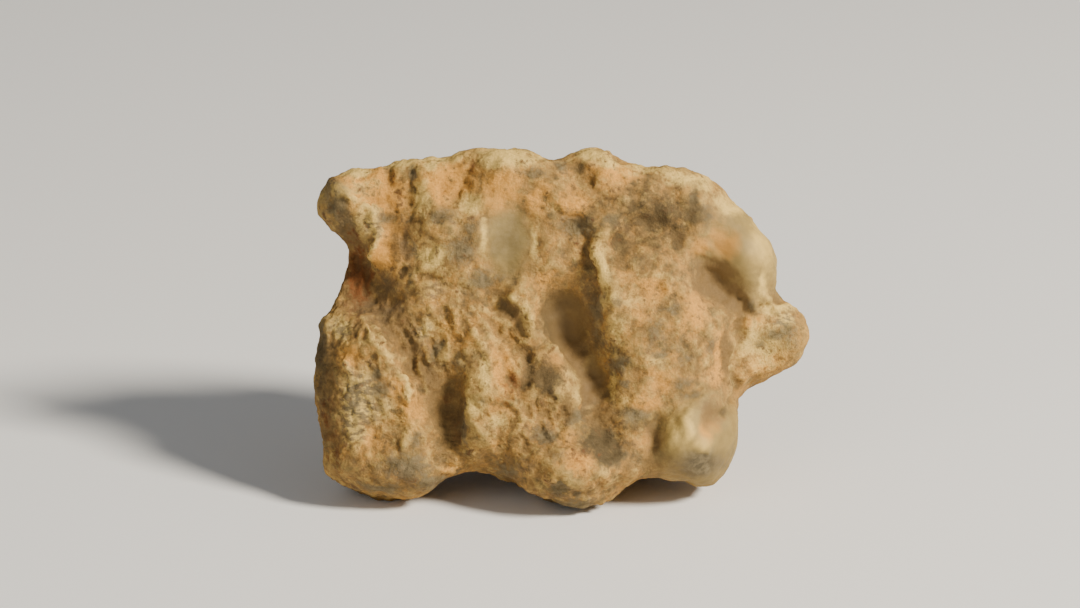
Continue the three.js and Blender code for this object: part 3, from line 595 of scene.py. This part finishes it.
evenness = add_node(
    crust_rule, "GeometryNodeInputNamedAttribute", {"data_type": "FLOAT"}, {"Name": "even"}
)
even = evenness.outputs["Attribute"]
rough = crust_step("MULTIPLY_ADD", even, -CRUMBS_EVENED, 1.0, clamped=True)
lumps = crust_noise(group_in.outputs["Lump size"], 2.0)
lumps = crust_step("MULTIPLY", lumps, group_in.outputs["Lump height"])
knobs = crust_step("ABSOLUTE", crust_noise(group_in.outputs["Knob size"], 3.0, 0.5))
knobs = crust_step("MULTIPLY", knobs, group_in.outputs["Knob height"])
crumbs = crust_noise(group_in.outputs["Crumb size"], 3.0, 0.5)
crumbs = crust_step("MULTIPLY", crumbs, group_in.outputs["Crumb height"])
furrow = crust_step("ABSOLUTE", crust_noise(group_in.outputs["Furrow spacing"], 3.0, 0.55))
furrow = crust_step("MULTIPLY_ADD", furrow, -FURROW_SHARPNESS, 1.0, clamped=True)
furrow = crust_step("MULTIPLY", furrow, group_in.outputs["Furrow depth"])
spot = crust_rule.nodes.new("GeometryNodeInputPosition").outputs["Position"]
warp_noise = add_node(crust_rule, "ShaderNodeTexNoise", None, {"Scale": WARP_WAVES, "Detail": 3.0})
warp = crust_move("SUBTRACT", {0: warp_noise.outputs["Color"], 1: (0.5, 0.5, 0.5)})
warp = crust_move("SCALE", {0: warp, "Scale": WARP_REACH})
spot = crust_move("ADD", {0: spot, 1: warp})
pit_scale = crust_step("DIVIDE", 1.0, group_in.outputs["Pit spacing"])
pit_inputs = {"Vector": spot, "Scale": pit_scale}
pit_cells = add_node(crust_rule, "ShaderNodeTexVoronoi", {"feature": "F1"}, pit_inputs)
pit = crust_step("MULTIPLY_ADD", pit_cells.outputs["Distance"], -PIT_SHARPNESS, 1.0, clamped=True)
chosen = add_node(crust_rule, "ShaderNodeSeparateXYZ", None, {0: pit_cells.outputs["Color"]}).outputs["X"]
chosen = crust_step("MULTIPLY_ADD", chosen, PIT_CHOICE, -PITS_LEFT_OUT, clamped=True)
pit = crust_step("MULTIPLY", crust_step("MULTIPLY", pit, chosen), group_in.outputs["Pit depth"])
rise = crust_step("ADD", crust_step("SUBTRACT", crust_step("SUBTRACT", crumbs, furrow), pit), knobs)
rise = crust_step("MULTIPLY", rise, rough)
rise = crust_step("MULTIPLY_ADD", lumps, crust_step("MULTIPLY_ADD", even, -LUMPS_EVENED, 1.0), rise)
normal = crust_rule.nodes.new("GeometryNodeInputNormal").outputs["Normal"]
moved = add_node(
    crust_rule, "GeometryNodeSetPosition", None,
    {"Geometry": group_in.outputs["Geometry"], "Offset": crust_move("SCALE", {0: normal, "Scale": rise})},
)
whole = add_node(crust_rule, "GeometryNodeRealizeInstances", None, {"Geometry": moved.outputs["Geometry"]})
finished = add_node(
    crust_rule, "GeometryNodeSetMaterial", None, {"Geometry": whole.outputs["Geometry"], "Material": rind}
)
crust_rule.links.new(finished.outputs["Geometry"], group_out.inputs["Geometry"])
crust = stone.modifiers.new("crumbly crust", "NODES")
crust.node_group = crust_rule
for name, identifier in crust_sockets.items():
    crust[identifier] = CRUST_SIZES[name]
made_plain(stone)


# What stands proud is bleached and worn lighter and also gets painted highlight, and what lies deep keeps its
# dark stain and also gets painted shade. A point's crest is its height over its close surroundings, and its
# stand is their height over wider ones. Nothing is left below the ground.
NEAR_ROUNDS = 5
WIDE_ROUNDS = 45
FULL_CREST_MM = 0.09
FULL_STAND_MM = 0.35
places = places_of(stone.data)
outward = outward_of(stone.data)
near = evened(places, NEAR_ROUNDS)
wide = evened(near, WIDE_ROUNDS)
crest_mm = np.einsum("ij,ij->i", places - near, outward) * 1000
stand_mm = np.einsum("ij,ij->i", near - wide, outward) * 1000
keep_on(stone.data, "crest", np.clip(crest_mm / FULL_CREST_MM, -1, 1))
keep_on(stone.data, "stand", np.clip(stand_mm / FULL_STAND_MM, -1, 1))
places[:, 2] = np.maximum(places[:, 2], 0)
stone.data.vertices.foreach_set("co", places.ravel())


# The crust's finish is tan and peach crumbs of feldspar and lime, mottled at every size, with the patches
# laid over them in turn. It is dull and dry, but a little smoother on the waxy clasts. Colours are linear
# red, green and blue.
TAN = (0.275, 0.155, 0.044, 1)
BROWN_TAN = (0.185, 0.105, 0.031, 1)
PEACH = (0.59, 0.282, 0.052, 1)
# Cream, also for painted highlights.
CREAM_AND_HIGHLIGHT = (0.65, 0.440, 0.122, 1)
GREY = (0.075, 0.06, 0.031, 1)
GREY_PALE = (0.19, 0.145, 0.072, 1)
# Dark, for dark spots and for painted shade.
DARK_SPOTS_AND_SHADE = (0.075, 0.052, 0.021, 1)
# Brown, for stain and for painted shade.
BROWN_STAIN_AND_SHADE = (0.175, 0.103, 0.033, 1)
WAX = (0.22, 0.150, 0.046, 1)
WAX_PALE = (0.34, 0.238, 0.075, 1)
RUST = (0.15, 0.045, 0.009, 1)
# A dull brown-grey for the painted shade.
PAINTED_SHADE = (0.13, 0.084, 0.040, 1)
DASH_SIZE_MM = 0.28
DASH_STRETCH = (0.42, 1.0, 1.0)
PATCH_SPREAD = 3.2
PATCH_SOFTNESS = 0.4
WAX_CALM = 0.9  # share of the crumbling and speckle that the waxy clasts lack
# Crests and proud places are lightened as wear and as painted highlight.
LIGHTER_BY_CREST = 0.5
LIGHTER_BY_STAND = 0.25
LIGHTER_OPACITY = 0.45
# Low places and cracks are darkened as stain and as painted shade, hollow spots as painted shade.
DARKER_BY_STAND = 0.25
DARKER_BY_CUT = 0.6
DARKER_OPACITY = 0.6
SUNK_SHADE_OPACITY = 0.25
SPECKLE = 0.9
CRUST_ROUGHNESS = 0.88
WAX_ROUGHNESS = 0.6
SHINE = 0.25
BUMP_BY_FINE = 0.7
BUMP_BY_DUST = 0.35
BUMP_STRENGTH = 0.7
BUMP_HEIGHT = 0.00028
rind.use_nodes = True
rind_tree = rind.node_tree
rind_shader = rind_tree.nodes["Principled BSDF"]
rind_place = rind_tree.nodes.new("ShaderNodeTexCoord").outputs["Object"]


def trait(name):
    """What was kept under this name on the mesh."""
    return add_node(rind_tree, "ShaderNodeAttribute", {"attribute_name": name}).outputs["Fac"]


def step(operation, first, second=0.0, third=0.0, clamped=False):
    """One step of arithmetic in the material."""
    return sums(rind_tree, operation, first, second, third, clamped)


def grain(size_mm, detail=3.0, roughness=0.6, stretch=None):
    """A cloudy pattern of one size through the stone."""
    place = rind_place
    if stretch:
        stretched = add_node(rind_tree, "ShaderNodeMapping", None, {"Vector": place, "Scale": stretch})
        place = stretched.outputs["Vector"]
    inputs = {"Vector": place, "Scale": 1000 / size_mm, "Detail": detail, "Roughness": roughness}
    return add_node(rind_tree, "ShaderNodeTexNoise", None, inputs).outputs["Fac"]


def broken(amount, pattern, spread, softness):
    """A patch with a crumbly edge: the pattern decides where it shows."""
    level = step("MULTIPLY_ADD", step("SUBTRACT", pattern, 0.5), spread, amount)
    inputs = {"Value": level, "From Min": 0.5 - softness, "From Max": 0.5 + softness}
    edge = add_node(rind_tree, "ShaderNodeMapRange", {"interpolation_type": "SMOOTHSTEP"}, inputs)
    return edge.outputs["Result"]


def blend(amount, below, above, kind="MIX"):
    """One colour laid over another by an amount."""
    settings = {"data_type": "RGBA", "blend_type": kind}
    return add_node(rind_tree, "ShaderNodeMix", settings, {0: amount, 6: below, 7: above}).outputs[2]


coarse = grain(2.6, 3.0)
middling = grain(0.9, 4.0, 0.62)
fine = grain(0.42, 4.0, 0.65)
dust = grain(0.18, 3.0, 0.7)
waxy = trait("waxy")
crest = trait("crest")
stand = trait("stand")
rough = step("MULTIPLY_ADD", waxy, -WAX_CALM, 1.0)

colour = blend(broken(0.5, coarse, 2.4, 0.4), TAN, BROWN_TAN)
# (amount, pattern, spread, softness, opacity, colour), each laid over the ones before it
mottles = [
    (0.38, middling, 2.0, 0.3, 0.7, PEACH),
    (0.3, grain(0.8, 5.0, 0.7), 2.6, 0.25, 0.4, CREAM_AND_HIGHLIGHT),
    (0.3, grain(1.0, 5.0, 0.7), 2.6, 0.25, 0.7, GREY),
]
for amount, pattern, spread, softness, opacity, above in mottles:
    shown = broken(amount, pattern, spread, softness)
    colour = blend(step("MULTIPLY", shown, opacity), colour, above)
# Crests and proud places are made lighter towards cream: wear, and painted highlight where they catch the
# lamp.
crest_wear_and_highlight = step("MULTIPLY_ADD", crest, LIGHTER_BY_CREST, step("MULTIPLY", stand, LIGHTER_BY_STAND), clamped=True)
colour = blend(step("MULTIPLY", crest_wear_and_highlight, LIGHTER_OPACITY), colour, CREAM_AND_HIGHLIGHT)
wax_colour = blend(broken(0.45, coarse, 2.5, 0.5), WAX, WAX_PALE)
colour = blend(broken(waxy, middling, 0.4, 0.3), colour, wax_colour)

crumbled = step("MULTIPLY", step("ADD", middling, fine), 0.5)
patch_spread = step("MULTIPLY", rough, PATCH_SPREAD)
dash = broken(0.45, grain(DASH_SIZE_MM, 2.0, 0.5, DASH_STRETCH), 5.0, 0.4)
dashes = blend(dash, GREY_PALE, CREAM_AND_HIGHLIGHT)
greys = blend(broken(0.5, fine, 2.5, 0.4), GREY, GREY_PALE)
# Of these layers, the cream one also lays painted highlights, the grey, brown and dark ones also lay painted
# shade, and the painted-shade one lays only painted shade.
# (trait, strength, opacity, colour), laid on in the same way
layers = [
    ("peach", 1.0, 1.0, PEACH),
    ("cream_and_highlight", 1.1, 1.0, CREAM_AND_HIGHLIGHT),
    ("painted_shade", 1.1, 0.8, PAINTED_SHADE),
    ("dashed", 1.2, 0.85, dashes),
    ("grey_and_shade", 1.3, 0.85, greys),
    ("brown_and_shade", 1.25, 0.85, BROWN_STAIN_AND_SHADE),
    ("dark_and_shade", 1.4, 0.8, DARK_SPOTS_AND_SHADE),
    ("rust", 1.2, 0.9, RUST),
]
for name, strength, opacity, above in layers:
    shown = broken(step("MULTIPLY", trait(name), strength), crumbled, patch_spread, PATCH_SOFTNESS)
    colour = blend(step("MULTIPLY", shown, opacity), colour, above)
# Cracks, pits and low places are darkened towards brown, as stain and as painted shade, and hollow spots
# towards dark, as painted shade.
cut_stain_and_shade = step("MULTIPLY", trait("cut"), DARKER_BY_CUT)
deep_stain_and_shade = step("MULTIPLY_ADD", stand, -DARKER_BY_STAND, cut_stain_and_shade, clamped=True)
colour = blend(step("MULTIPLY", deep_stain_and_shade, DARKER_OPACITY), colour, BROWN_STAIN_AND_SHADE)
sunk_shade = step("MULTIPLY", step("MULTIPLY", crest, -1.0, clamped=True), SUNK_SHADE_OPACITY)
colour = blend(step("MULTIPLY", sunk_shade, rough), colour, DARK_SPOTS_AND_SHADE)
speckle = step("MULTIPLY", step("SUBTRACT", dust, 0.5), rough)
speckle = step("MULTIPLY_ADD", speckle, SPECKLE, 1.0)
tone_inputs = {"Red": speckle, "Green": speckle, "Blue": speckle}
tone = add_node(rind_tree, "ShaderNodeCombineColor", None, tone_inputs)
colour = blend(1.0, colour, tone.outputs["Color"], "MULTIPLY")
rind_tree.links.new(colour, rind_shader.inputs["Base Color"])

matt_range = {"Value": waxy, "To Min": CRUST_ROUGHNESS, "To Max": WAX_ROUGHNESS}
matt = add_node(rind_tree, "ShaderNodeMapRange", None, matt_range)
rind_tree.links.new(matt.outputs["Result"], rind_shader.inputs["Roughness"])
rind_shader.inputs["Specular IOR Level"].default_value = SHINE
height = step("MULTIPLY_ADD", fine, BUMP_BY_FINE, step("MULTIPLY", dust, BUMP_BY_DUST))
bumped = {"Strength": step("MULTIPLY", rough, BUMP_STRENGTH), "Distance": BUMP_HEIGHT, "Height": height}
bump = add_node(rind_tree, "ShaderNodeBump", None, bumped)
rind_tree.links.new(bump.outputs["Normal"], rind_shader.inputs["Normal"])
for face in stone.data.polygons:
    face.use_smooth = True
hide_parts("stone")
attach(stone, "root")


# The stone is shown on a plain pale table, in a dim grey room. One strong soft lamp is on the right and a
# weak one on the left. Both are round and aimed half way up the stone.
FLOOR_REACH = 3.0
TABLE_COLOUR = (0.86, 0.85, 0.82, 1)
TABLE_ROUGHNESS = 0.9
LAMPS_AIM = Vector((0, 0, 0.012))
ROOM_COLOUR = (0.8, 0.82, 0.85, 1)
ROOM_STRENGTH = 0.22
floor_mesh = bpy.data.meshes.new("table")
floor_corners = [(-1, -1, 0), (1, -1, 0), (1, 1, 0), (-1, 1, 0)]
floor_places = [[FLOOR_REACH * side for side in corner] for corner in floor_corners]
floor_mesh.from_pydata(floor_places, [], [(0, 1, 2, 3)])
floor = bpy.data.objects.new("table", floor_mesh)
bpy.context.scene.collection.objects.link(floor)
plain = bpy.data.materials.new("plain table")
plain.use_nodes = True
plain.node_tree.nodes["Principled BSDF"].inputs["Base Color"].default_value = TABLE_COLOUR
plain.node_tree.nodes["Principled BSDF"].inputs["Roughness"].default_value = TABLE_ROUGHNESS
floor_mesh.materials.append(plain)


def lamp(name, place, size, watts, tint):
    """A round lamp aimed at the stone."""
    light = bpy.data.lights.new(name, "AREA")
    light.shape = "DISK"
    light.size = size
    light.energy = watts
    light.color = tint
    holder = bpy.data.objects.new(name, light)
    holder.location = place
    aim = LAMPS_AIM - Vector(place)
    holder.rotation_euler = aim.to_track_quat("-Z", "Y").to_euler()
    bpy.context.scene.collection.objects.link(holder)


lamp("sun side", place=(0.372, -0.235, 0.335), size=0.13, watts=6.5, tint=(1.0, 0.93, 0.82))
lamp("fill side", place=(-0.30, -0.50, 0.30), size=0.5, watts=0.7, tint=(0.96, 0.98, 1.0))
room = bpy.data.worlds.new("room")
room.use_nodes = True
room.node_tree.nodes["Background"].inputs["Color"].default_value = ROOM_COLOUR
room.node_tree.nodes["Background"].inputs["Strength"].default_value = ROOM_STRENGTH
bpy.context.scene.world = room
